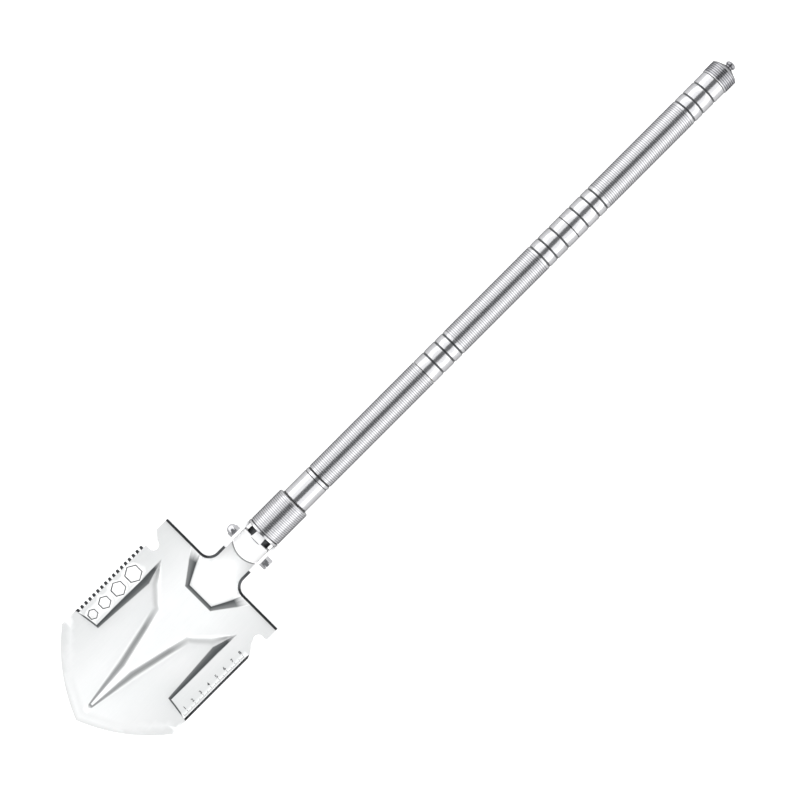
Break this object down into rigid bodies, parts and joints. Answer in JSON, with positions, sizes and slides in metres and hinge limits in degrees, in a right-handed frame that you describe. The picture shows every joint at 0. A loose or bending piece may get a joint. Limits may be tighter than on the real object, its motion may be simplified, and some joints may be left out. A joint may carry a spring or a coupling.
{
  "type": "camp shovel",
  "caption": "Folding camping shovel with a stamped multi-tool blade, a knurled locking collar at the fold and a screw-together tube handle.",
  "frame": {"origin": "middle of the length and width, on the surface that the shovel lies on", "axes": "+X along the handle towards the tail cap, +Z out of the blade's front, +Y towards the saw edge"},
  "size_m": [0.8314, 0.1398, 0.0406],
  "materials": {
    "blade_steel": "bead-blasted satin",
    "bolt_steel": "bright",
    "head_steel": "satin",
    "smooth_alloy": "turned satin",
    "knurled_alloy": "knurled",
    "brass": "turned",
    "seal_rubber": "matte",
    "striker_steel": "bright"
  },
  "bodies": {
    "head": {"joint_head": "head_steel", "pivot_bush": "brass", "head_adapter": "smooth_alloy", "adapter_ring": "smooth_alloy", "collar_o_ring": "seal_rubber", "head_o_ring": "seal_rubber"},
    "blade": {"blade": "blade_steel", "pivot_bolt": "bolt_steel", "acorn_nut": "bolt_steel", "bolt_washers": "bolt_steel"},
    "ring": {"thrust_ring": "smooth_alloy"},
    "collar": {"locking_collar": "knurled_alloy"},
    "lower": {"lower_tube": "knurled_alloy", "lower_insert": "brass", "lower_coupler": "smooth_alloy", "lower_o_ring": "seal_rubber"},
    "middle": {"middle_tube": "knurled_alloy", "middle_insert": "brass", "middle_coupler": "smooth_alloy", "middle_o_ring": "seal_rubber"},
    "upper": {"upper_tube": "knurled_alloy", "upper_insert": "brass", "tail_plug": "smooth_alloy", "tail_o_ring": "seal_rubber"},
    "cap": {"tail_cap": "knurled_alloy", "striker_stud": "striker_steel"}
  },
  "joints": [
    {"name": "blade_fold", "type": "hinge", "parent": "head", "child": "blade", "pos_m": [-0.19205, 0, 0.0237], "axis": [0, 1, 0], "range_deg": [0, 180]},
    {"name": "collar_travel", "type": "slide", "parent": "head", "child": "ring", "axis": [1, 0, 0], "range_m": [0, 0.008]},
    {"name": "collar_turn", "type": "hinge", "parent": "ring", "child": "collar", "pos_m": [-0.1547, 0, 0.0237], "axis": [1, 0, 0], "range_deg": [0, 1440]},
    {"name": "lower_unscrew", "type": "slide", "parent": "head", "child": "lower", "axis": [1, 0, 0], "range_m": [0, 0.03]},
    {"name": "middle_unscrew", "type": "slide", "parent": "lower", "child": "middle", "axis": [1, 0, 0], "range_m": [0, 0.03]},
    {"name": "upper_unscrew", "type": "slide", "parent": "middle", "child": "upper", "axis": [1, 0, 0], "range_m": [0, 0.03]},
    {"name": "cap_unscrew", "type": "slide", "parent": "upper", "child": "cap", "axis": [1, 0, 0], "range_m": [0, 0.02]}
  ],
  "couplings": [
    {"joint": "collar_travel", "follows": "collar_turn", "m_per_rad": 0.0003183}
  ]
}
